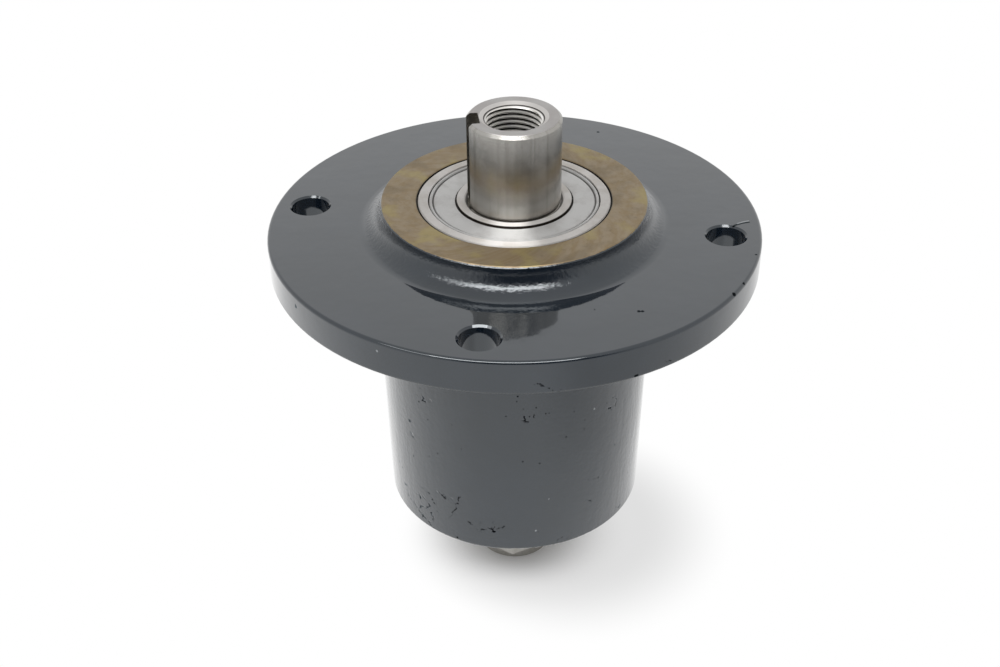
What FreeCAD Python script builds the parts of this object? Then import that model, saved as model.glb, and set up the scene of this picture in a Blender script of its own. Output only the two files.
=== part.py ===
import FreeCAD, Part
import math
import os

# Mower deck spindle: a flanged cylindrical housing with a ball bearing in each end and
# a keyed shaft through both. Millimetres, +Z up along the shaft.
# The origin is on the shaft's axis, at the flange's underside, which seats on the deck.

# Shaft
shaft_d = 25.0
shaft_exposed = 23.75
seat_relief_w = 0.9
seat_relief_depth = 0.2
shaft_chamfer = 0.85
keyway_w = 6.35
keyway_floor_r = 9.12
keyway_below_rim = 3.0
keyway_angle = 188.0
thread_major_d = 15.875
thread_mouth_d = 18.2
thread_mouth_angle = 120.0
top_thread_depth = 32.0
low_thread_depth = 30.0
drill_point_angle = 118.0

# Lower end of the shaft: shoulder collar, hexagon and blade pilot
collar_d = 30.0
collar_h = 2.6
hex_af = 28.575
hex_h = 19.1
hex_angle = -92.3
hex_corner_cut_angle = 30.0
pilot_d = 22.225
pilot_h = 6.35
pilot_chamfer = 0.5

# Housing
flange_d = 132.0
flange_t = 9.5
flange_edge_r = 0.9
rim_d = 70.4
rim_bevel = 0.45
boss_h = 7.0
boss_draft_angle = 4.0
boss_root_r = 4.8
tube_d = 76.2
tube_low_d = 73.3
tube_h = 76.4
tube_register_h = 8.0
tube_root_r = 1.6
tube_edge_r = 0.7
bolt_to_edge = 9.5
bolt_hole_d = 10.3
bolt_hole_edge = 0.5
bolt_count = 4
bolt_angle = -8.5
seat_lead_in = 0.35
land_bore_d = 45.0
top_recess = 0.15
low_recess = 1.0

# Bearing
bearing_d = 52.0
bearing_w = 15.0
ball_d = 7.938
ball_count = 9
ring_fit = 0.01
ball_play = 0.012
race_ratio = 0.52
outer_chamfer = 0.65
bore_chamfer = 0.85
inner_end_d = 30.9
inner_end_h = 1.9
inner_end_edge = 0.2
inner_shoulder_d = 34.3
outer_face_bore_d = 46.0
outer_shoulder_d = 43.8
shield_groove_d = 47.4
shield_groove_top = 0.5
shield_groove_h = 1.1
shield_t = 0.4
shield_gap = 0.2
shield_bead_w = 0.7
shield_bead_sink = 0.12
shield_crease_h = 0.3
shield_land_d = 41.6
shield_land_sink = 0.25
shield_step_w = 0.8
shield_step_h = 0.4
cage_t = 0.6
cage_play = 0.15
cage_band = 2.7
rivet_d = 1.2
rivet_head_d = 1.9
rivet_head_h = 0.35
spacer_gap = 0.3
spacer_wall = 2.7

# Heights and radii that follow from the sizes above
rim_z = flange_t + boss_h
tube_low_z = -tube_h
shaft_r = shaft_d / 2
shaft_top_z = rim_z + shaft_exposed
upper_bearing_top = rim_z - top_recess
upper_bearing_low = upper_bearing_top - bearing_w
lower_bearing_low = tube_low_z + low_recess
lower_bearing_top = lower_bearing_low + bearing_w
collar_low_z = lower_bearing_low - collar_h
hex_low_z = collar_low_z - hex_h
pilot_low_z = hex_low_z - pilot_h
bearing_r = bearing_d / 2
ball_r = ball_d / 2
pitch_r = (shaft_r + bearing_r) / 2
race_r = ball_d * race_ratio


def point(r, z):
    return FreeCAD.Vector(r, 0, z)


def line(a, b):
    return Part.makeLine(point(*a), point(*b))


def arc(a, middle, b):
    return Part.Arc(point(*a), point(*middle), point(*b)).toShape()


def corner_arc(a, centre, radius, angle, b):
    """Quarter-like arc from a to b round a centre, passing at the given angle."""
    turn = math.radians(angle)
    middle = (centre[0] + radius * math.cos(turn), centre[1] + radius * math.sin(turn))
    return arc(a, middle, b)


def turned(edges):
    """Solid of revolution about Z from a closed outline in the r, z plane."""
    wire = Part.Wire(Part.__sortEdges__(edges))
    solid = Part.Face(wire).revolve(point(0, 0), FreeCAD.Vector(0, 0, 1), 360)
    return solid


def turned_outline(points):
    """Solid of revolution from straight sides only."""
    edges = [line(a, b) for a, b in zip(points, points[1:] + points[:1])]
    return turned(edges)


def around(shape, count, start):
    """Copies of a shape at equal angles about Z."""
    copies = []
    for i in range(count):
        one = shape.copy()
        one.rotate(point(0, 0), FreeCAD.Vector(0, 0, 1), start + i * 360.0 / count)
        copies.append(one)
    return copies


def flange_hole():
    """One bolt hole with a small broken edge at both faces, as a cutter."""
    r = bolt_hole_d / 2
    e = bolt_hole_edge
    over = 1.0
    outline = [
        (0, -over), (r + e + over, -over), (r + e, 0), (r, e), (r, flange_t - e),
        (r + e, flange_t), (r + e + over, flange_t + over), (0, flange_t + over),
    ]
    hole = turned_outline(outline)
    hole.translate(FreeCAD.Vector(flange_d / 2 - bolt_to_edge, 0, 0))
    return hole


def housing():
    """One casting: seat bores, raised boss, flange and drafted tube."""
    flange_r = flange_d / 2
    rim_r = rim_d / 2
    wall_top = (rim_r + rim_bevel, rim_z - rim_bevel)
    draft = math.radians(boss_draft_angle)
    root_top_z = flange_t + boss_root_r * (1 - math.sin(draft))
    root_top_r = wall_top[0] + (wall_top[1] - root_top_z) * math.tan(draft)
    root_centre = (root_top_r + boss_root_r * math.cos(draft), flange_t + boss_root_r)
    tube_r = tube_d / 2
    tube_low_r = tube_low_d / 2
    seat_r = bearing_r + ring_fit
    land_r = land_bore_d / 2
    top_seat_z = upper_bearing_low
    low_seat_z = lower_bearing_top
    edge = flange_edge_r
    root = tube_root_r
    foot = tube_edge_r
    edges = [
        line((seat_r + seat_lead_in, rim_z), (rim_r, rim_z)),
        line((rim_r, rim_z), wall_top),
        line(wall_top, (root_top_r, root_top_z)),
        corner_arc((root_top_r, root_top_z), root_centre, boss_root_r, 228,
                   (root_centre[0], flange_t)),
        line((root_centre[0], flange_t), (flange_r - edge, flange_t)),
        corner_arc((flange_r - edge, flange_t), (flange_r - edge, flange_t - edge), edge, 45,
                   (flange_r, flange_t - edge)),
        line((flange_r, flange_t - edge), (flange_r, edge)),
        corner_arc((flange_r, edge), (flange_r - edge, edge), edge, -45, (flange_r - edge, 0)),
        line((flange_r - edge, 0), (tube_r + root, 0)),
        corner_arc((tube_r + root, 0), (tube_r + root, -root), root, 135, (tube_r, -root)),
        line((tube_r, -root), (tube_r, -tube_register_h)),
        line((tube_r, -tube_register_h), (tube_low_r, tube_low_z + foot)),
        corner_arc((tube_low_r, tube_low_z + foot), (tube_low_r - foot, tube_low_z + foot), foot,
                   -45, (tube_low_r - foot, tube_low_z)),
        line((tube_low_r - foot, tube_low_z), (seat_r + seat_lead_in, tube_low_z)),
        line((seat_r + seat_lead_in, tube_low_z), (seat_r, tube_low_z + seat_lead_in)),
        line((seat_r, tube_low_z + seat_lead_in), (seat_r, low_seat_z)),
        line((seat_r, low_seat_z), (land_r, low_seat_z)),
        line((land_r, low_seat_z), (land_r, top_seat_z)),
        line((land_r, top_seat_z), (seat_r, top_seat_z)),
        line((seat_r, top_seat_z), (seat_r, rim_z - seat_lead_in)),
        line((seat_r, rim_z - seat_lead_in), (seat_r + seat_lead_in, rim_z)),
    ]
    body = turned(edges)
    return body.cut(around(flange_hole(), bolt_count, bolt_angle))


def tapped_hole(depth):
    """Hole at the thread's major size, mouth at z 0, going down, as a cutter."""
    r = thread_major_d / 2
    mouth_r = thread_mouth_d / 2
    mouth_h = (mouth_r - r) / math.tan(math.radians(thread_mouth_angle / 2))
    point_h = r / math.tan(math.radians(drill_point_angle / 2))
    return turned_outline([
        (0, 1.0), (mouth_r, 1.0), (mouth_r, 0), (r, -mouth_h), (r, -depth),
        (0, -depth - point_h),
    ])


def keyway():
    """Milled slot open at the shaft's top, with a half-round lower end, as a cutter."""
    low_z = rim_z - keyway_below_rim
    length = shaft_top_z - low_z + 1.0
    reach = shaft_r - keyway_floor_r + 1.0
    slot = Part.makeBox(reach, keyway_w, length,
                        FreeCAD.Vector(keyway_floor_r, -keyway_w / 2, low_z))
    end = Part.makeCylinder(keyway_w / 2, reach, FreeCAD.Vector(keyway_floor_r, 0, low_z),
                            FreeCAD.Vector(1, 0, 0))
    cutter = slot.fuse(end)
    cutter.rotate(point(0, 0), FreeCAD.Vector(0, 0, 1), keyway_angle)
    return cutter


def hexagon():
    """Wrench hexagon above the blade pilot, corners cut back at its upper end."""
    corner_r = hex_af / math.sqrt(3)
    corners = []
    for i in range(6):
        turn = math.radians(hex_angle + 60 * i)
        corners.append(FreeCAD.Vector(corner_r * math.cos(turn), corner_r * math.sin(turn), hex_low_z))
    face = Part.Face(Part.makePolygon(corners + corners[:1]))
    prism = face.extrude(FreeCAD.Vector(0, 0, hex_h))
    cut_r = hex_af / 2
    reach = corner_r - cut_r + 1.0
    drop = reach * math.tan(math.radians(hex_corner_cut_angle))
    envelope = turned_outline([
        (0, hex_low_z), (cut_r + reach, hex_low_z), (cut_r + reach, collar_low_z - drop),
        (cut_r, collar_low_z), (0, collar_low_z),
    ])
    return prism.common(envelope)


def shaft():
    """Keyed shaft, tapped at both ends, with its collar, hexagon and blade pilot."""
    pilot_r = pilot_d / 2
    collar_r = collar_d / 2
    relief_r = shaft_r - seat_relief_depth
    relief_z = rim_z - seat_relief_w
    bar = turned_outline([
        (0, pilot_low_z), (pilot_r - pilot_chamfer, pilot_low_z),
        (pilot_r, pilot_low_z + pilot_chamfer), (pilot_r, collar_low_z), (collar_r, collar_low_z),
        (collar_r, lower_bearing_low), (shaft_r, lower_bearing_low), (shaft_r, relief_z),
        (relief_r, relief_z), (relief_r, rim_z), (shaft_r, rim_z),
        (shaft_r, shaft_top_z - shaft_chamfer), (shaft_r - shaft_chamfer, shaft_top_z),
        (0, shaft_top_z),
    ])
    top_hole = tapped_hole(top_thread_depth)
    top_hole.translate(point(0, shaft_top_z))
    low_hole = tapped_hole(low_thread_depth)
    low_hole.rotate(point(0, 0), FreeCAD.Vector(1, 0, 0), 180)
    low_hole.translate(point(0, pilot_low_z))
    return bar.fuse(hexagon()).cut([top_hole, low_hole, keyway()])


def bearing_spacer():
    """Tube between the two inner rings."""
    inner = shaft_r + spacer_gap
    outer = inner + spacer_wall
    return turned_outline([
        (inner, lower_bearing_top), (outer, lower_bearing_top),
        (outer, upper_bearing_low), (inner, upper_bearing_low),
    ])


def inner_ring():
    """Inner ring about the bearing's own middle, with stepped ends under the shields."""
    h = bearing_w / 2
    bore = shaft_r + ring_fit
    end_r = inner_end_d / 2
    shoulder = inner_shoulder_d / 2
    floor_r = pitch_r - ball_r - ball_play
    centre_r = floor_r + race_r
    rise = math.sqrt(race_r ** 2 - (centre_r - shoulder) ** 2)
    step_z = h - inner_end_h
    c = bore_chamfer
    e = inner_end_edge
    points = [
        (shoulder, -rise), (shoulder, -step_z), (end_r, -step_z), (end_r, -h + e), (end_r - e, -h),
        (bore + c, -h), (bore, -h + c), (bore, h - c), (bore + c, h),
        (end_r - e, h), (end_r, h - e), (end_r, step_z), (shoulder, step_z), (shoulder, rise),
    ]
    edges = [line(a, b) for a, b in zip(points, points[1:])]
    edges.append(arc((shoulder, rise), (floor_r, 0), (shoulder, -rise)))
    return turned(edges)


def outer_ring():
    """Outer ring about the bearing's own middle, with a groove for each shield's edge."""
    h = bearing_w / 2
    face_r = outer_face_bore_d / 2
    groove_r = shield_groove_d / 2
    shoulder = outer_shoulder_d / 2
    ceiling_r = pitch_r + ball_r + ball_play
    centre_r = ceiling_r - race_r
    rise = math.sqrt(race_r ** 2 - (shoulder - centre_r) ** 2)
    groove_top = h - shield_groove_top
    groove_low = groove_top - shield_groove_h
    c = outer_chamfer
    upper = [
        (shoulder, rise), (shoulder, groove_low), (groove_r, groove_low), (groove_r, groove_top),
        (face_r, groove_top), (face_r, h), (bearing_r - c, h), (bearing_r, h - c),
    ]
    lower = [(r, -z) for r, z in reversed(upper)]
    points = upper + lower
    edges = [line(a, b) for a, b in zip(points, points[1:])]
    edges.append(arc((shoulder, -rise), (ceiling_r, 0), (shoulder, rise)))
    return turned(edges)


def shield():
    """Pressed sheet shield at the bearing's upper side: edge, bead, crease, land, step, disc."""
    h = bearing_w / 2
    t = shield_t
    edge_r = shield_groove_d / 2 - ring_fit
    edge_low = h - shield_groove_top - shield_groove_h
    edge_top = edge_low + t
    bead_out = outer_face_bore_d / 2 - ring_fit
    bead_in = bead_out - shield_bead_w
    bead_z = h - shield_bead_sink
    crease_z = bead_z - shield_crease_h
    land_out = bead_in - shield_crease_h / 2
    land_in = shield_land_d / 2
    land_z = h - shield_land_sink
    disc_out = land_in - shield_step_w
    disc_z = land_z - shield_step_h
    bore = inner_end_d / 2 + shield_gap
    return turned_outline([
        (edge_r, edge_low), (edge_r, edge_top), (bead_out, edge_top), (bead_out, bead_z - t / 2),
        (bead_out - t / 2, bead_z), (bead_in + t / 2, bead_z), (bead_in, crease_z),
        (land_out, land_z), (land_in, land_z), (disc_out, disc_z), (bore, disc_z),
        (bore, disc_z - t), (disc_out - t / 2, disc_z - t), (land_in - t / 2, edge_low),
    ])


def balls():
    """Balls on the pitch circle, about the bearing's own middle."""
    one = Part.makeSphere(ball_r, point(pitch_r, 0))
    return around(one, ball_count, 0)


def cage_half():
    """Pressed half of the ball cage above the bearing's middle, with a pocket for each ball."""
    in_r = pitch_r - cage_band / 2
    out_r = pitch_r + cage_band / 2
    pocket_r = ball_r + cage_play
    shell_r = pocket_r + cage_t
    plate = turned_outline([(in_r, 0), (out_r, 0), (out_r, cage_t), (in_r, cage_t)])
    band = turned_outline([(in_r, 0), (out_r, 0), (out_r, shell_r), (in_r, shell_r)])
    shells = around(Part.makeSphere(shell_r, point(pitch_r, 0)), ball_count, 0)
    pockets = around(Part.makeSphere(pocket_r, point(pitch_r, 0)), ball_count, 0)
    rivet_hole = Part.makeCylinder(rivet_d / 2 + ring_fit, 3 * cage_t, point(pitch_r, -cage_t))
    holes = around(rivet_hole, ball_count, 180.0 / ball_count)
    domes = Part.makeCompound(shells).common(band)
    return plate.fuse(domes.Solids).cut(pockets + holes)


def cage_rivets():
    """Rivets through both halves of the cage, between the balls."""
    r = rivet_d / 2
    head = rivet_head_d / 2
    top = cage_t + rivet_head_h
    bevel = rivet_head_h / 2
    one = turned_outline([
        (0, -top), (head - bevel, -top), (head, -top + bevel), (head, -cage_t), (r, -cage_t),
        (r, cage_t), (head, cage_t), (head, top - bevel), (head - bevel, top), (0, top),
    ])
    one.translate(point(pitch_r, 0))
    return Part.makeCompound(around(one, ball_count, 180.0 / ball_count))


def flipped(shape):
    """The same piece turned over about the bearing's middle."""
    other = shape.copy()
    other.rotate(point(0, 0), FreeCAD.Vector(1, 0, 0), 180)
    return other


def bearing(name, middle_z):
    """All pieces of one shielded ball bearing, set with its middle at the given height."""
    top_cage = cage_half()
    top_shield = shield()
    pieces = {
        "outer_ring": outer_ring(),
        "inner_ring": inner_ring(),
        "cage_top": top_cage,
        "cage_bottom": flipped(top_cage),
        "cage_rivets": cage_rivets(),
        "shield_top": top_shield,
        "shield_bottom": flipped(top_shield),
    }
    for i, ball in enumerate(balls()):
        pieces["ball_%d" % (i + 1)] = ball
    placed = {}
    for piece, shape in pieces.items():
        shape.translate(point(0, middle_z))
        placed[name + "_" + piece] = shape
    return placed


def main():
    nodes = {"housing": housing(), "shaft": shaft(), "bearing_spacer": bearing_spacer()}
    nodes.update(bearing("upper", upper_bearing_low + bearing_w / 2))
    nodes.update(bearing("lower", lower_bearing_low + bearing_w / 2))
    os.makedirs("parts", exist_ok=True)
    for name, shape in nodes.items():
        shape.exportStep("parts/" + name + ".step")


main()
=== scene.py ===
import math

import bmesh
import bpy
from mathutils import Matrix, Vector


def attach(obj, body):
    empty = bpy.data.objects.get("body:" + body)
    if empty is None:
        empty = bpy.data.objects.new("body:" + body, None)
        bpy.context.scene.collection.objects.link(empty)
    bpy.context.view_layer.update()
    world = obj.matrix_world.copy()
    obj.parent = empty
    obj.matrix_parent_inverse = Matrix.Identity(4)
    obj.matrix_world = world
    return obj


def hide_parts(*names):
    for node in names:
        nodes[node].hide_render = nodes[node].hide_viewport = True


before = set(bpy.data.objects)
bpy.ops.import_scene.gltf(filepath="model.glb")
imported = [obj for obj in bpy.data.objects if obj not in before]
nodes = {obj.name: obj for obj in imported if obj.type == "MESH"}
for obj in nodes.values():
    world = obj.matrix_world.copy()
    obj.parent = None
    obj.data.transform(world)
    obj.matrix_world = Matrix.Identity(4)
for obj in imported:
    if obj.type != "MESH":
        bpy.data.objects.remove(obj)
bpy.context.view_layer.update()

mm = 0.001

# Heights and radii of the part, from its drawing
floor_z = -103.45 * mm
rim_z = 16.5 * mm
flange_top_z = 9.5 * mm
flange_r = 66.0 * mm
tube_low_z = -76.4 * mm
shaft_top_z = 40.25 * mm
shaft_low_z = -103.45 * mm
bore_r = 26.0 * mm
inner_ring_r = 15.65 * mm
inner_bore_r = 12.5 * mm
upper_bearing_z = (1.35 * mm, 16.35 * mm)
lower_bearing_z = (-75.4 * mm, -60.4 * mm)
thread_wall_r = 7.9375 * mm
thread_crest_r = 7.17 * mm
thread_pitch = 25.4 / 18 * mm
thread_mouth_r = 9.1 * mm
thread_mouth_slope = math.tan(math.radians(60))
upper_thread_turns = 21
lower_thread_turns = 20
buried = 0.02 * mm

# Marks in the paint, as the photograph shows them: places in millimetres, each with its radius
dark_pits = [
    ((-28.9, -23.6, -40.3), 0.65), ((-25.7, -27.4, -31.0), 0.36), ((-25.2, -27.9, -26.0), 0.30),
    ((-28.3, -24.0, -52.6), 0.36), ((-31.2, -19.6, -67.0), 0.42), ((-24.1, -27.9, -67.7), 0.30),
    ((-22.0, -29.5, -68.2), 0.26), ((-16.3, -32.9, -75.2), 0.42), ((0.8, -37.7, -21.5), 0.36),
    ((0.6, -37.6, -23.2), 0.30), ((4.0, -37.3, -28.3), 0.36), ((5.6, -37.2, -25.5), 0.28),
    ((8.2, -36.7, -27.8), 0.28), ((-2.3, -37.5, -28.1), 0.28), ((18.8, -32.4, -33.3), 0.26),
    ((10.3, -36.3, -20.6), 0.46), ((-5.7, -37.3, -18.4), 0.36), ((24.8, -28.1, -30.9), 0.26),
    ((27.3, -25.7, -33.8), 0.26), ((19.5, -43.8, 9.5), 0.32), ((25.2, 53.0, 9.5), 0.55),
    ((54.4, -36.8, 9.3), 0.75), ((57.4, -31.8, 9.3), 0.55), ((62.4, -18.2, 9.5), 0.50),
    ((-54.4, -37.4, 6.4), 0.70), ((29.0, -59.3, 0.6), 0.80), ((31.0, -44.6, 9.5), 0.62),
    ((30.2, -44.6, 9.5), 0.62),
]
shallow_craters = [
    ((-22.5, -30.1, -28.6), 0.75), ((-28.5, -24.0, -44.8), 0.85), ((-21.8, -29.9, -60.8), 0.55),
    ((-19.6, -31.3, -61.5), 0.50), ((-17.5, -32.5, -61.0), 0.55),
]
pale_spots = [
    ((-32.5, -57.4, 6.8), 0.40), ((5.9, -36.3, -69.5), 0.38), ((9.4, -35.8, -58.2), 0.28),
    ((21.3, -30.9, -30.7), 0.38),
]
scribbled_patches = [
    ((-26.0, -26.0, -70.0), 5.5), ((-7.0, -36.0, -69.0), 4.0), ((3.6, -37.4, -28.6), 2.2),
    ((-25.0, -28.2, -30.0), 2.8), ((26.0, -26.9, -32.0), 2.6), ((14.0, -34.0, -74.5), 4.0),
]

# Scratches: both ends of each stroke, and half its width
dark_scratches = [
    ((29.6, -21.7, -72.8), (28.4, -23.2, -76.0), 0.24), ((5.3, -37.2, -17.9), (8.5, -36.8, -18.2), 0.45),
    ((36.2, -55.2, 1.9), (37.4, -54.4, 1.3), 0.34), ((4.9, -65.8, 3.5), (9.3, -65.3, 1.1), 0.36),
    ((9.3, -65.3, 1.1), (10.6, -65.1, 0.7), 0.70), ((-31.7, -18.7, -67.0), (-30.6, -20.4, -70.3), 0.42),
    ((-30.6, -20.4, -70.3), (-28.2, -23.6, -72.0), 0.48),
    ((-28.2, -23.6, -72.0), (-23.2, -28.4, -75.6), 0.44),
    ((-26.4, -25.8, -62.7), (-24.0, -28.0, -62.9), 0.34),
    ((-24.0, -28.0, -62.9), (-22.5, -29.2, -66.4), 0.40),
    ((-20.8, -30.6, -60.4), (-18.6, -31.9, -61.9), 0.50),
    ((-15.4, -33.6, -58.9), (-16.4, -33.1, -63.4), 0.42),
    ((-16.4, -33.1, -63.4), (-18.3, -31.9, -68.5), 0.42),
    ((-13.0, -34.4, -67.9), (-10.4, -35.3, -70.1), 0.44),
    ((-9.0, -35.7, -69.4), (-2.9, -36.7, -67.9), 0.46), ((-29.0, -23.4, -43.8), (-28.0, -24.6, -45.6), 0.36),
    ((-33.4, -15.7, -60.8), (-32.1, -18.2, -61.8), 0.34), ((30.6, -20.2, -74.1), (28.1, -23.5, -74.8), 0.40),
    ((19.9, -31.1, -62.7), (22.6, -29.1, -64.8), 0.26), ((20.9, -30.6, -56.2), (23.2, -28.8, -56.6), 0.24),
]
pale_scratches = [
    ((59.7, -2.2, 9.5), (61.2, -1.3, 9.5), 0.34), ((61.2, -1.3, 9.5), (62.8, -0.7, 9.5), 0.34),
]
dark_furrow = [
    ((58.2, -3.7, 9.5), (59.0, -3.0, 9.5), 0.46), ((59.0, -3.0, 9.5), (60.6, -2.1, 9.5), 0.50),
    ((60.6, -2.1, 9.5), (62.8, -1.4, 9.5), 0.44),
]

# The camera, fitted to the photograph's edges
photo_width = 1000
photo_height = 667
camera_place = (0.0, -0.3284, 0.19685)
camera_pitch = math.radians(34.58)
camera_yaw = math.radians(-0.59)
camera_roll = math.radians(-0.09)
focal_length_in_widths = 1.4
middle_row = 339.55
film_width = 36.0


class Finish:
    """A material with its nodes. Sizes are given in metres, on the object's own coordinates."""

    def __init__(self, name):
        self.material = bpy.data.materials.new(name)
        self.material.use_nodes = True
        self.tree = self.material.node_tree
        self.shader = self.tree.nodes["Principled BSDF"]
        self.place = self.node("ShaderNodeTexCoord").outputs["Object"]
        self.split = self.node("ShaderNodeSeparateXYZ", {"Vector": self.place})
        self.x, self.y, self.z = self.split.outputs

    def node(self, kind, inputs=None, **settings):
        made = self.tree.nodes.new(kind)
        for name, value in settings.items():
            setattr(made, name, value)
        for name, value in (inputs or {}).items():
            self.feed(made.inputs[name], value)
        return made

    def feed(self, socket, value):
        if isinstance(value, bpy.types.NodeSocket):
            self.tree.links.new(value, socket)
        else:
            socket.default_value = value

    def count(self, operation, *values, clamp=False):
        made = self.node("ShaderNodeMath", operation=operation, use_clamp=clamp)
        for socket, value in zip(made.inputs, values):
            self.feed(socket, value)
        return made.outputs[0]

    def times(self, first, *others):
        """The product of several values."""
        product = first
        for other in others:
            product = self.count("MULTIPLY", product, other)
        return product

    def all_of(self, shares):
        """The strongest of several shares."""
        strongest = shares[0]
        for share in shares[1:]:
            strongest = self.count("MAXIMUM", strongest, share)
        return strongest

    def reach(self, value, low, high, bottom=0.0, top=1.0):
        """Goes smoothly from bottom to top as the value goes from low to high."""
        made = self.node("ShaderNodeMapRange", interpolation_type="SMOOTHSTEP")
        for name, number in (
                ("Value", value), ("From Min", low), ("From Max", high), ("To Min", bottom), ("To Max", top)):
            self.feed(made.inputs[name], number)
        return made.outputs["Result"]

    def radius(self):
        square = self.count("ADD", self.times(self.x, self.x), self.times(self.y, self.y))
        return self.count("SQRT", square)

    def stretched(self, scale, shift=(0, 0, 0)):
        made = self.node("ShaderNodeMapping", {"Vector": self.place, "Scale": scale, "Location": shift})
        return made.outputs[0]

    def round_place(self, around, along, outwards):
        """Coordinates round the Z axis, so that a pattern runs in rings or streaks."""
        angle = self.count("ARCTAN2", self.y, self.x)
        made = self.node("ShaderNodeCombineXYZ", {
            "X": self.times(self.count("SINE", angle), around),
            "Y": self.times(self.z, along),
            "Z": self.count(
                "ADD", self.times(self.radius(), outwards), self.times(self.count("COSINE", angle), around)),
        })
        return made.outputs[0]

    def noise(self, vector, scale, detail=3.0, roughness=0.55):
        return self.node("ShaderNodeTexNoise", {
            "Vector": vector, "Scale": scale, "Detail": detail, "Roughness": roughness}).outputs["Fac"]

    def blend(self, share, first, second):
        """A colour that goes from first to second with the share."""
        made = self.node("ShaderNodeMix", data_type="RGBA")
        self.feed(made.inputs["Factor"], share)
        for name, value in (("A", first), ("B", second)):
            socket = [s for s in made.inputs if s.name == name and s.type == "RGBA"][0]
            if isinstance(value, tuple):
                value = (*value, 1.0)
            self.feed(socket, value)
        return [s for s in made.outputs if s.type == "RGBA"][0]

    def level(self, share, first, second):
        """A number that goes from first to second with the share."""
        made = self.node("ShaderNodeMix", data_type="FLOAT")
        self.feed(made.inputs["Factor"], share)
        self.feed(made.inputs["A"], first)
        self.feed(made.inputs["B"], second)
        return made.outputs[0]

    def lean(self, share, first, second):
        """A direction that goes from first to second with the share."""
        made = self.node("ShaderNodeMix", data_type="VECTOR")
        self.feed(made.inputs["Factor"], share)
        vector_sockets = [s for s in made.inputs if s.type == "VECTOR" and s.name in ("A", "B")]
        for socket, value in zip(vector_sockets, (first, second)):
            self.feed(socket, value)
        return made.outputs[1]

    def bump(self, height, distance, under=None):
        made = self.node("ShaderNodeBump", {"Height": height, "Distance": distance, "Strength": 1.0})
        if under is not None:
            self.feed(made.inputs["Normal"], under)
        return made.outputs[0]

    def vector(self, operation, first, second, output="Vector"):
        name = "Scale" if operation == "SCALE" else 1
        made = self.node("ShaderNodeVectorMath", {0: first, name: second}, operation=operation)
        return made.outputs[output]

    def ragged_place(self, scale, amount):
        """Coordinates pushed about a little, so that outlines drawn on them turn out ragged."""
        pushed = self.node("ShaderNodeTexNoise", {"Vector": self.place, "Scale": scale, "Detail": 2.0})
        push = self.vector("SUBTRACT", pushed.outputs["Color"], (0.5, 0.5, 0.5))
        return self.vector("ADD", self.place, self.vector("SCALE", push, amount))

    def spot(self, place, middle, size):
        """1 within a spot, 0 outside it."""
        away = self.vector("DISTANCE", place, tuple(c * mm for c in middle), "Value")
        return self.reach(away, size * 0.55 * mm, size * mm, 1.0, 0.0)

    def stroke(self, place, start, end, width):
        """1 along a thin stroke, 0 beside it."""
        start = Vector(start) * mm
        along = Vector(end) * mm - start
        gone = self.vector("SUBTRACT", place, tuple(start))
        share = self.vector("DOT_PRODUCT", gone, tuple(along / along.length_squared), "Value")
        share = self.count("MULTIPLY", share, 1.0, clamp=True)
        reached = self.vector("SCALE", tuple(along), share)
        away = self.vector("DISTANCE", gone, reached, "Value")
        return self.reach(away, width * 0.4 * mm, width * mm, 1.0, 0.0)

    def turned_grain(self, amount):
        """The grain of a face or journal turned on a lathe, which draws a highlight out across its rings."""
        tangent = self.node("ShaderNodeTangent", direction_type="RADIAL", axis="Z")
        self.set(Anisotropic=amount, Anisotropic_Rotation=0.25, Tangent=tangent.outputs[0])

    def set(self, **values):
        for name, value in values.items():
            self.feed(self.shader.inputs[name.replace("_", " ")], value)
        return self.material

    def show(self, share, first, second):
        """Makes the surface go from the first shader to the second with the share."""
        both = self.node("ShaderNodeMixShader", {0: share, 1: first.outputs[0], 2: second.outputs[0]})
        self.tree.links.new(both.outputs[0], self.tree.nodes["Material Output"].inputs["Surface"])


def cut_by_the_lathe(f, r):
    """1 where the casting was cut after painting: the top rim with its edge, and the bores."""
    fine = f.noise(f.place, 900, 3.0, 0.6)
    edge = f.times(f.count("SUBTRACT", fine, 0.5), 0.3 * mm)
    on_rim = f.reach(f.count("ADD", f.z, edge), rim_z - 0.24 * mm, rim_z - 0.18 * mm)
    in_bore = f.reach(r, bore_r + 0.55 * mm, bore_r + 0.6 * mm, 1.0, 0.0)
    return f.all_of([on_rim, in_bore])


def stained_rim(f, r, blotches, spots, flecks):
    """The bare casting's colour: brown, with olive and dark blotches, and painted shade in the gap at the
    bore's edge.
    """
    stain = f.noise(f.round_place(7.0, 40, 260), 1.4, 5.0, 0.65)
    colour = f.blend(f.reach(stain, 0.36, 0.66), (0.238, 0.172, 0.092), (0.278, 0.218, 0.145))
    # Painted shade, near black, in the gap between the rim and the bearing's outer ring
    oil_and_gap_shade = f.reach(r, bore_r + 0.18 * mm, bore_r + 0.05 * mm, 0.0, 1.0)
    for share, laid_over in (
            (f.reach(blotches, 0.50, 0.62, 0.0, 0.6), (0.340, 0.275, 0.110)),
            (f.reach(blotches, 0.46, 0.34, 0.0, 0.5), (0.170, 0.130, 0.080)),
            (f.reach(spots, 0.58, 0.76, 0.0, 0.35), (0.150, 0.112, 0.066)),
            (f.reach(flecks, 0.68, 0.76, 0.0, 0.4), (0.090, 0.068, 0.042)),
            (oil_and_gap_shade, (0.012, 0.010, 0.008))):
        colour = f.blend(share, colour, laid_over)
    return colour


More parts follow.
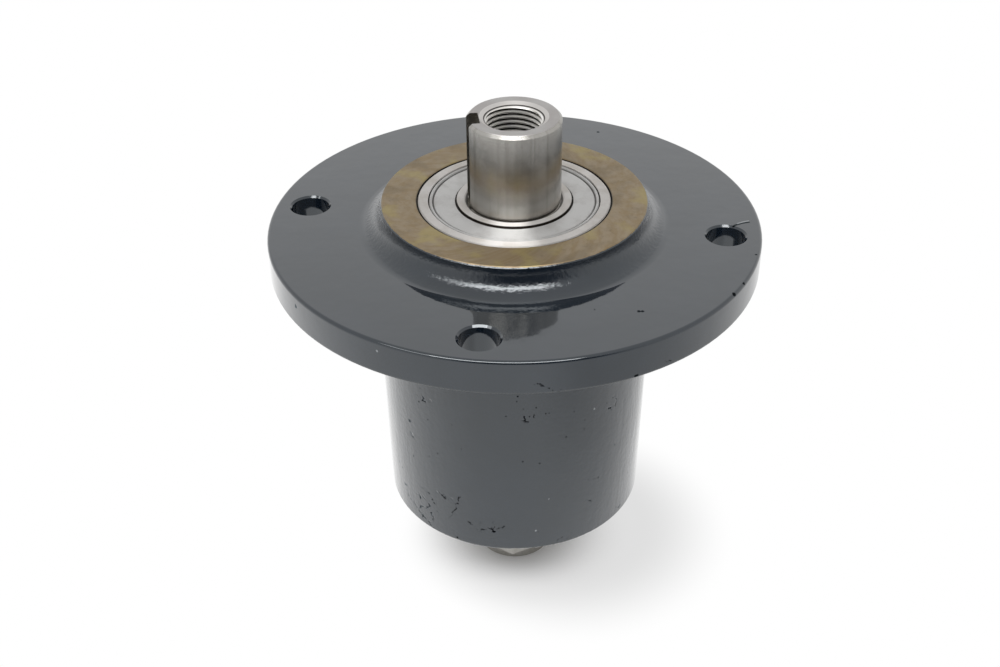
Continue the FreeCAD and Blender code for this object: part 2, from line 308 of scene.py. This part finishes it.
def pits_of_the_mould(f, tube_zone):
    """Small pits in patches all over the tube, which was left rough by the mould."""
    pits = f.node("ShaderNodeTexVoronoi", {"Vector": f.place, "Scale": 430, "Randomness": 1.0}, feature="F1")
    chance = f.node("ShaderNodeSeparateColor", {"Color": pits.outputs["Color"]}).outputs[0]
    patches = f.reach(f.noise(f.stretched((1, 1, 0.8), (0.4, 0, 0)), 45, 2.0, 0.5), 0.5, 0.6)
    pit = f.times(f.reach(pits.outputs["Distance"], 0.08, 0.17, 1.0, 0.0), f.reach(chance, 0.80, 0.82))
    return f.times(pit, f.times(patches, tube_zone))


def marks_in_the_paint(f):
    """The marks that the photograph shows: dark ones, scribbled ones, pale ones and shallow craters."""
    ragged = f.ragged_place(1400, 0.7 * mm)
    torn = f.reach(f.noise(f.place, 1000, 3.0, 0.6), 0.45, 0.53)
    wavy = f.ragged_place(600, 2.2 * mm)
    pitted = [f.spot(ragged, *mark) for mark in dark_pits]
    pitted += [f.stroke(f.place, *mark) for mark in dark_furrow]
    scratched = f.all_of([f.stroke(wavy, *mark) for mark in dark_scratches])
    dark = f.all_of([f.all_of(pitted), f.times(scratched, f.times(torn, 0.85))])
    pale = [f.spot(ragged, *mark) for mark in pale_spots]
    pale = f.all_of(pale + [f.stroke(f.place, *mark) for mark in pale_scratches])
    crater = f.all_of([f.spot(f.place, *mark) for mark in shallow_craters])
    lines = f.count("ABSOLUTE", f.count("SUBTRACT", f.noise(f.place, 230, 2.0, 0.5), 0.5))
    broken = f.reach(f.noise(f.place, 380, 2.0, 0.5), 0.46, 0.52)
    lines = f.times(f.reach(lines, 0.016, 0.034, 1.0, 0.0), broken)
    scribble = f.times(lines, f.all_of([f.spot(ragged, *mark) for mark in scribbled_patches]))
    return dark, scribble, pale, crater


def painted_surface(f, tube_zone, grain_zone, crater, scribble):
    """The paint's relief. It lies smooth on the flange and follows the casting's grain elsewhere."""
    casting_waves = f.noise(f.place, 110, 2.0, 0.5)
    orange_peel = f.noise(f.place, 620, 2.0, 0.5)
    grain = f.times(f.noise(f.place, 950, 3.0, 0.6), grain_zone)
    drips = f.times(f.noise(f.stretched((1, 1, 0.28)), 190, 3.0, 0.55), tube_zone)
    height = 0.0
    for layer, thickness in (
            (casting_waves, 0.07), (drips, 0.13), (orange_peel, 0.006), (grain, 0.11),
            (crater, -0.05), (scribble, -0.10)):
        height = f.count("MULTIPLY_ADD", layer, thickness * mm, height)
    return f.bump(height, 1.0)


def lathe_cut_surface(f, flecks):
    """The fine rings that the lathe left on the bare rim."""
    rings = f.noise(f.round_place(0.4, 0.0, 9000), 1.0, 2.0, 0.6)
    return f.bump(flecks, 0.010 * mm, under=f.bump(rings, 0.009 * mm))


def paint_on_casting():
    f = Finish("paint_on_casting")
    r = f.radius()
    bare = cut_by_the_lathe(f, r)
    tint = f.noise(f.place, 60, 3.0, 0.6)
    blotches = f.noise(f.place, 95, 4.0, 0.5)
    spots = f.noise(f.place, 420, 3.0, 0.6)
    flecks = f.noise(f.place, 1500, 3.0, 0.7)
    tube_zone = f.reach(f.z, -2 * mm, -0.5 * mm, 1.0, 0.0)
    pit = pits_of_the_mould(f, tube_zone)
    marks, scribble, pale, crater = marks_in_the_paint(f)
    dark = f.all_of([marks, f.times(pit, 0.7), scribble])
    worn_foot = f.times(
        f.reach(f.z, tube_low_z + 0.9 * mm, tube_low_z + 0.3 * mm), f.reach(blotches, 0.48, 0.58))

    colour = f.blend(f.reach(tint, 0.35, 0.7), (0.0042, 0.0075, 0.0125), (0.0065, 0.0105, 0.0170))
    for share, laid_over in (
            (bare, stained_rim(f, r, blotches, spots, flecks)),
            (f.times(dark, 0.9), (0.003, 0.003, 0.003)),
            (f.times(pale, 0.8), (0.24, 0.25, 0.26)),
            (f.times(worn_foot, 0.8), (0.060, 0.055, 0.030))):
        colour = f.blend(share, colour, laid_over)

    boss_root_zone = f.times(
        f.reach(r, 41.5 * mm, 40.0 * mm), f.reach(f.z, flange_top_z + 0.05 * mm, flange_top_z + 0.5 * mm))
    grain_zone = f.all_of([f.times(tube_zone, 0.55), boss_root_zone])
    painted = painted_surface(f, tube_zone, grain_zone, crater, scribble)
    surface = f.lean(bare, painted, lathe_cut_surface(f, flecks))
    dull_edge = f.times(
        f.reach(f.z, 0.5 * mm, 0.9 * mm, 1.0, 0.0), f.reach(r, flange_r - 1.5 * mm, flange_r - 1.0 * mm))
    gloss = f.count("ADD", f.reach(tint, 0.3, 0.7, 0.05, 0.08), f.times(grain_zone, 0.08))
    gloss = f.level(dull_edge, gloss, 0.5)
    no_coat = f.all_of([bare, dark, f.times(dull_edge, 0.6)])
    return f.set(
        Base_Color=colour, Metallic=f.all_of([f.times(bare, 0.7), dark]),
        Roughness=f.level(bare, gloss, f.reach(spots, 0.3, 0.7, 0.36, 0.46)),
        IOR=1.52, Specular_Tint=(0.86, 0.95, 1.0, 1.0),
        Coat_Weight=f.count("SUBTRACT", 1.0, no_coat), Coat_Roughness=0.04, Coat_IOR=1.5,
        Normal=surface, Coat_Normal=surface)


def ground_shaft_steel():
    f = Finish("ground_shaft_steel")
    lathe = f.noise(f.round_place(0.5, 9000, 0.0), 1.0, 2.0, 0.6)
    streaks = f.noise(f.round_place(7.0, 8, 0), 1.0, 3.0, 0.55)
    smudge = f.noise(f.place, 90, 4.0, 0.6)
    specks = f.noise(f.place, 1300, 2.0, 0.6)
    r = f.radius()
    in_the_hole = f.reach(r, thread_mouth_r - 0.02 * mm, thread_mouth_r - 0.08 * mm)
    # Painted shade, near black, on the tapped hole's wall behind the thread ridge
    painted_shade_on_the_wall = f.reach(r, 8.00 * mm, 7.96 * mm)
    on_the_end = f.reach(f.z, shaft_top_z - 0.12 * mm, shaft_top_z - 0.05 * mm)
    faced = f.all_of([on_the_end, in_the_hole])
    faced_colour = f.blend(f.reach(smudge, 0.35, 0.65), (0.40, 0.38, 0.37), (0.46, 0.45, 0.44))
    colour = f.blend(f.reach(smudge, 0.35, 0.7), (0.435, 0.42, 0.39), (0.48, 0.47, 0.445))
    for share, laid_over in (
            (f.reach(streaks, 0.46, 0.68, 0.0, 0.35), (0.30, 0.285, 0.26)),
            (f.reach(specks, 0.71, 0.76, 0.0, 0.8), (0.10, 0.09, 0.08)),
            (faced, faced_colour),
            (in_the_hole, (0.64, 0.62, 0.60)),
            (painted_shade_on_the_wall, (0.050, 0.045, 0.040))):
        colour = f.blend(share, colour, laid_over)
    f.turned_grain(0.3)
    return f.set(
        Base_Color=colour, Metallic=1.0,
        Roughness=f.level(faced, f.reach(smudge, 0.3, 0.7, 0.20, 0.27), 0.42),
        Normal=f.bump(lathe, 0.008 * mm))


def ground_ring_steel():
    f = Finish("ground_ring_steel")
    smudge = f.noise(f.place, 130, 4.0, 0.65)
    colour = f.blend(f.reach(smudge, 0.4, 0.7), (0.80, 0.775, 0.75), (0.70, 0.665, 0.62))
    r = f.radius()
    # Painted shade in the gaps at the ring's edges: beside the housing's bore, the shield's inner edge and
    # the shaft
    painted_gap_shade = f.all_of([
        f.reach(r, bore_r - 0.45 * mm, bore_r - 0.30 * mm),
        f.times(
            f.reach(r, inner_ring_r - 0.4 * mm, inner_ring_r - 0.3 * mm),
            f.reach(r, inner_ring_r + 0.25 * mm, inner_ring_r + 0.15 * mm)),
        f.times(f.reach(r, inner_bore_r + 0.65 * mm, inner_bore_r + 0.45 * mm), 0.75),
    ])
    colour = f.blend(painted_gap_shade, colour, (0.030, 0.025, 0.020))
    f.turned_grain(1.0)
    return f.set(Base_Color=colour, Metallic=1.0, Roughness=f.reach(smudge, 0.3, 0.7, 0.53, 0.59))


def pressed_shield_sheet():
    f = Finish("pressed_shield_sheet")
    grain = f.noise(f.place, 2600, 3.0, 0.6)
    smudge = f.noise(f.place, 150, 4.0, 0.65)
    colour = f.blend(f.reach(smudge, 0.4, 0.7), (0.67, 0.665, 0.655), (0.57, 0.56, 0.545))
    r = f.radius()
    # Painted shade in the shield's gaps and folds: at its inner edge, in the groove by the ring and in the
    # valley behind the bead
    painted_fold_shade = f.all_of([
        f.reach(r, inner_ring_r + 0.2 * mm, inner_ring_r + 0.1 * mm),
        f.times(f.reach(r, 22.66 * mm, 22.74 * mm), 0.85),
        f.times(f.reach(r, 21.42 * mm, 21.52 * mm), f.reach(r, 21.92 * mm, 21.86 * mm), 0.65),
    ])
    colour = f.blend(painted_fold_shade, colour, (0.030, 0.025, 0.020))
    f.turned_grain(0.95)
    return f.set(
        Base_Color=colour, Metallic=1.0,
        Roughness=f.reach(grain, 0.3, 0.7, 0.50, 0.58), Normal=f.bump(grain, 0.003 * mm))


def polished_ball_steel():
    f = Finish("polished_ball_steel")
    film = f.noise(f.place, 300, 3.0, 0.6)
    colour = f.blend(f.reach(film, 0.4, 0.7), (0.78, 0.78, 0.78), (0.66, 0.64, 0.58))
    return f.set(Base_Color=colour, Metallic=1.0, Roughness=f.reach(film, 0.3, 0.7, 0.05, 0.12))


def pressed_cage_sheet():
    f = Finish("pressed_cage_sheet")
    grain = f.noise(f.place, 2400, 3.0, 0.6)
    smudge = f.noise(f.place, 240, 4.0, 0.65)
    colour = f.blend(f.reach(smudge, 0.35, 0.7), (0.50, 0.48, 0.44), (0.36, 0.34, 0.29))
    return f.set(
        Base_Color=colour, Metallic=1.0,
        Roughness=f.reach(grain, 0.3, 0.7, 0.32, 0.44), Normal=f.bump(grain, 0.006 * mm))


def sawn_tube_steel():
    f = Finish("sawn_tube_steel")
    lathe = f.noise(f.round_place(0.5, 5000, 5000), 1.0, 2.0, 0.6)
    film = f.noise(f.place, 110, 4.0, 0.6)
    colour = f.blend(f.reach(film, 0.35, 0.7), (0.45, 0.44, 0.42), (0.32, 0.29, 0.24))
    return f.set(
        Base_Color=colour, Metallic=1.0,
        Roughness=f.reach(film, 0.3, 0.7, 0.32, 0.45), Normal=f.bump(lathe, 0.02 * mm))


def cut_thread_steel():
    """Bright on the ridge's crest, with painted shade at its root."""
    f = Finish("cut_thread_steel")
    oil_and_gap_shade = f.noise(f.place, 260, 4.0, 0.6)
    colour = f.blend(f.reach(oil_and_gap_shade, 0.35, 0.7), (0.98, 0.97, 0.95), (0.84, 0.82, 0.78))
    # Painted shade, near black, down at the ridge's root
    painted_shade_at_the_root = f.reach(f.radius(), 7.45 * mm, 7.80 * mm)
    colour = f.blend(painted_shade_at_the_root, colour, (0.045, 0.040, 0.035))
    return f.set(Base_Color=colour, Metallic=1.0, Roughness=f.reach(oil_and_gap_shade, 0.3, 0.7, 0.30, 0.40))


def thread_ridge(name, mouth_z, inwards, turns, finish):
    """The ridge that a tap leaves round a hole's wall, cut back to the hole's coned mouth."""
    mesh = bmesh.new()
    root = 0.45 * thread_pitch
    crest = 0.125 * thread_pitch
    root_r = thread_wall_r + buried
    side = [
        (root_r - share * (root_r - thread_crest_r), root + share * (crest - root))
        for share in (0.0, 0.25, 0.5, 0.75, 1.0)]
    outline = [(radius, -height) for radius, height in side]
    outline += [(radius, height) for radius, height in reversed(side)]
    corners = [mesh.verts.new((radius, 0, mouth_z + height)) for radius, height in outline]
    face = mesh.faces.new(corners)
    steps_a_turn = 48
    bmesh.ops.spin(
        mesh, geom=[face, *face.edges, *corners], cent=(0, 0, 0), axis=(0, 0, 1),
        dvec=(0, 0, -inwards * thread_pitch / steps_a_turn), angle=-inwards * turns * 2 * math.pi,
        steps=turns * steps_a_turn)
    bmesh.ops.bisect_plane(
        mesh, geom=[*mesh.verts, *mesh.edges, *mesh.faces], dist=1e-6,
        plane_co=(0, 0, mouth_z - inwards * 0.1 * mm), plane_no=(0, 0, inwards), clear_outer=True)
    for corner in mesh.verts:
        depth = (mouth_z - corner.co.z) * inwards
        cone_r = thread_mouth_r - depth * thread_mouth_slope + buried
        radius = corner.co.xy.length
        if radius < cone_r:
            corner.co.xy = corner.co.xy * (cone_r / radius)
    return finished_piece(mesh, name, "shaft_body", "shaft_steel", finish, 30)


def turned_mesh(outline, steps):
    """A closed outline, in metres as (radius, height), turned all the way round the Z axis."""
    mesh = bmesh.new()
    corners = [mesh.verts.new((radius, 0, height)) for radius, height in outline]
    edges = [mesh.edges.new(pair) for pair in zip(corners, corners[1:] + corners[:1])]
    bmesh.ops.spin(
        mesh, geom=[*corners, *edges], cent=(0, 0, 0), axis=(0, 0, 1), angle=2 * math.pi,
        steps=steps, use_merge=True)
    return mesh


def boss_root(finish):
    """The thick paint that fills the corner between the boss and the flange to a wider round."""
    middle_r, middle_z, round_r = 41.89, 15.701, 6.2
    turns = [math.radians(turn) for turn in (*range(2, 86, 3), 86.5, 88, 89, 89.6, 90)]
    outline = [(middle_r - round_r * math.cos(turn), middle_z - round_r * math.sin(turn)) for turn in turns]
    outline += [(41.95, 9.3), (35.2, 9.3), (35.2, 15.3)]
    mesh = turned_mesh([(across * mm, height * mm) for across, height in outline], 200)
    return finished_piece(mesh, "boss_root", "housing_body", "housing_paint", finish, 60)


def pressed_shield(piece_name, node, face_z, up, finish):
    """A bearing's sheet shield: its edge in the ring's groove, a rolled bead, a valley and a flat disc."""
    outline = [
        (23.67, -1.60), (23.67, -1.20), (22.92, -1.20), (22.70, -1.05), (22.62, -0.40), (22.54, -0.24),
        (22.38, -0.15), (22.16, -0.15), (22.00, -0.24), (21.92, -0.40), (21.86, -0.95), (21.50, -0.95),
        (21.40, -0.62), (21.30, -0.50), (21.10, -0.45), (15.65, -0.55), (15.65, -1.05), (20.90, -1.05),
        (21.30, -1.60),
    ]
    mesh = turned_mesh([(radius * mm, face_z + up * height * mm) for radius, height in outline], 160)
    return finished_piece(mesh, piece_name, "housing_body", "shield_steel", finish, 50, node)


def in_the_scene(name, data):
    placed = bpy.data.objects.new(name, data)
    bpy.context.scene.collection.objects.link(placed)
    return placed


def data_of(mesh, name, finish):
    data = bpy.data.meshes.new(name)
    mesh.to_mesh(data)
    mesh.free()
    data.materials.append(finish)
    return data


def finished_piece(mesh, name, body, slot, finish, sharp_from, *stands_for):
    """Puts a new piece in the scene, shaded smooth but for edges sharper than so many degrees."""
    bmesh.ops.recalc_face_normals(mesh, faces=mesh.faces)
    data = data_of(mesh, name, finish)
    data.shade_smooth()
    data.set_sharp_from_angle(angle=math.radians(sharp_from))
    piece = in_the_scene(name, data)
    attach(piece, body)
    if stands_for:
        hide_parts(*stands_for)
    return piece


def dress(node, finish):
    held = nodes[node].data.materials
    held.clear()
    held.append(finish)


def finish_the_part():
    ring = ground_ring_steel()
    shield = pressed_shield_sheet()
    ball = polished_ball_steel()
    cage = pressed_cage_sheet()
    paint = paint_on_casting()
    dress("housing", paint)
    boss_root(paint)
    dress("shaft", ground_shaft_steel())
    dress("bearing_spacer", sawn_tube_steel())
    for name in nodes:
        if name.endswith("_ring"):
            dress(name, ring)
        elif "_shield_" in name:
            dress(name, shield)
        elif "_ball_" in name:
            dress(name, ball)
        elif "_cage_" in name:
            dress(name, cage)
    for bearing, (low_z, high_z) in (("upper", upper_bearing_z), ("lower", lower_bearing_z)):
        pressed_shield(bearing + "_shield_top_sheet", bearing + "_shield_top", high_z, 1, shield)
        pressed_shield(bearing + "_shield_bottom_sheet", bearing + "_shield_bottom", low_z, -1, shield)
    thread = cut_thread_steel()
    thread_ridge("pulley_bolt_thread_ridge", shaft_top_z, 1, upper_thread_turns, thread)
    thread_ridge("blade_bolt_thread_ridge", shaft_low_z, -1, lower_thread_turns, thread)


def white_floor():
    """Plain white where the camera or a reflection sees it, but for a painted soft shade under the part, and
    painted shade on its right side where reflections see it.
    """
    f = Finish("white_floor")
    away = f.reach(f.radius(), 8 * mm, 38 * mm)
    seen = f.node("ShaderNodeLightPath")
    shown = f.times(away, f.all_of([seen.outputs["Is Camera Ray"], seen.outputs["Is Glossy Ray"]]))
    f.set(Base_Color=(0.93, 0.93, 0.93, 1.0), Roughness=0.9, Specular_IOR_Level=0.0)
    # A painted shadow: the floor's glow is dimmer in a soft patch to the right of the foot
    from_shade = f.vector("DISTANCE", f.place, (18 * mm, 4 * mm, floor_z), "Value")
    shade = f.reach(from_shade, 22 * mm, 52 * mm, 0.74, 1.0)
    # Painted shade that only reflections see, darker towards the right
    painted_shade_on_the_right = f.reach(f.x, 20 * mm, 110 * mm, 1.0, 0.76)
    mirrored = f.level(seen.outputs["Is Glossy Ray"], 1.0, painted_shade_on_the_right)
    white = f.node("ShaderNodeEmission", {"Color": (1, 1, 1, 1), "Strength": f.times(shade, mirrored)})
    f.show(shown, f.shader, white)
    return f.material


def lay_floor():
    half_width = 6.0
    mesh = bmesh.new()
    bmesh.ops.create_grid(mesh, x_segments=1, y_segments=1, size=half_width)
    bmesh.ops.translate(mesh, verts=mesh.verts, vec=(0, 0, floor_z))
    floor = in_the_scene("floor", data_of(mesh, "floor", white_floor()))


def softbox(name, place, width, height, brightness):
    """A flat lamp whose face has the given brightness. It is aimed at the flange's middle."""
    lamp = bpy.data.lights.new(name, "AREA")
    lamp.shape = "RECTANGLE"
    lamp.size = width
    lamp.size_y = height
    lamp.energy = brightness * math.pi * width * height
    holder = in_the_scene(name, lamp)
    holder.location = place
    holder.rotation_euler = (Vector((0, 0, 0)) - Vector(place)).to_track_quat("-Z", "Y").to_euler()


def screen_cloth(high_z):
    """A dark cloth that thins out towards both ends and the top."""
    cloth = Finish("screen_cloth")
    cloth.set(Base_Color=(0.06, 0.06, 0.06, 1.0), Roughness=1.0)
    across = cloth.times(cloth.reach(cloth.x, -0.9, -0.2), cloth.reach(cloth.x, 1.15, 0.6))
    woven = cloth.times(across, cloth.reach(cloth.z, high_z, high_z - 0.25))
    clear = cloth.node("ShaderNodeBsdfTransparent")
    cloth.show(woven, clear, cloth.shader)
    return cloth.material


def dark_screen(name, away, low_z, high_z, first_angle, last_angle):
    """A round dark screen behind the camera. Only reflections show it, so it takes no light off the part."""
    mesh = bmesh.new()
    start = math.radians(first_angle)
    corners = [mesh.verts.new((away * math.cos(start), away * math.sin(start), z)) for z in (low_z, high_z)]
    edge = mesh.edges.new(corners)
    bmesh.ops.spin(
        mesh, geom=[*corners, edge], cent=(0, 0, 0), axis=(0, 0, 1),
        angle=math.radians(last_angle - first_angle), steps=40)
    screen = in_the_scene(name, data_of(mesh, name, screen_cloth(high_z)))
    screen.visible_camera = False
    screen.visible_diffuse = False
    screen.visible_shadow = False


def light_the_studio():
    softbox("back_softbox", place=(0, 1.15, 0.85), width=1.6, height=0.8, brightness=0.12)
    softbox("front_softbox", place=(-0.07, -0.79, 1.08), width=1.25, height=0.36, brightness=7.5)
    softbox("left_softbox", place=(-0.86, -0.62, 1.05), width=0.5, height=0.3, brightness=3.0)
    dark_screen("front_screen", away=1.3, low_z=floor_z, high_z=1.02, first_angle=-135, last_angle=-25)


def surround_with_white():
    """A world that is white to the camera, a little darker in reflections, and dimmer as a light."""
    world = bpy.data.worlds.new("studio")
    bpy.context.scene.world = world
    world.use_nodes = True
    tree = world.node_tree
    light = tree.nodes["Background"]
    light.inputs["Color"].default_value = (1, 1, 1, 1)
    light.inputs["Strength"].default_value = 0.6
    backdrop = tree.nodes.new("ShaderNodeBackground")
    backdrop.inputs["Color"].default_value = (0.8, 0.8, 0.8, 1)
    seen = tree.nodes.new("ShaderNodeLightPath")
    brightness = tree.nodes.new("ShaderNodeMath")
    brightness.operation = "MULTIPLY_ADD"
    brightness.inputs[1].default_value = 0.25
    brightness.inputs[2].default_value = 1.0
    either = tree.nodes.new("ShaderNodeMath")
    either.operation = "MAXIMUM"
    mix = tree.nodes.new("ShaderNodeMixShader")
    for source, socket in (
            (seen.outputs["Is Camera Ray"], brightness.inputs[0]),
            (brightness.outputs[0], backdrop.inputs["Strength"]),
            (seen.outputs["Is Camera Ray"], either.inputs[0]),
            (seen.outputs["Is Glossy Ray"], either.inputs[1]),
            (either.outputs[0], mix.inputs[0]),
            (light.outputs[0], mix.inputs[1]),
            (backdrop.outputs[0], mix.inputs[2]),
            (mix.outputs[0], tree.nodes["World Output"].inputs["Surface"])):
        tree.links.new(source, socket)


def turned(first, second, angle):
    """Two directions, turned by an angle in the plane that they span."""
    return (
        first * math.cos(angle) + second * math.sin(angle),
        second * math.cos(angle) - first * math.sin(angle))


def set_up_camera():
    ahead = Vector((0, math.cos(camera_pitch), -math.sin(camera_pitch)))
    up = Vector((0, math.sin(camera_pitch), math.cos(camera_pitch)))
    right = Vector((1, 0, 0))
    ahead, right = turned(ahead, right, camera_yaw)
    right, up = turned(right, up, camera_roll)
    lens = bpy.data.cameras.new("camera")
    lens.sensor_width = film_width
    lens.lens = film_width * focal_length_in_widths
    lens.shift_y = (middle_row - photo_height / 2) / photo_width
    lens.clip_start = 0.01
    camera = in_the_scene("camera", lens)
    axes = Matrix((right, up, -ahead)).transposed()
    camera.matrix_world = Matrix.Translation(camera_place) @ axes.to_4x4()
    bpy.context.scene.camera = camera


finish_the_part()
lay_floor()
light_the_studio()
surround_with_white()
set_up_camera()
bpy.context.scene.view_settings.view_transform = "Standard"
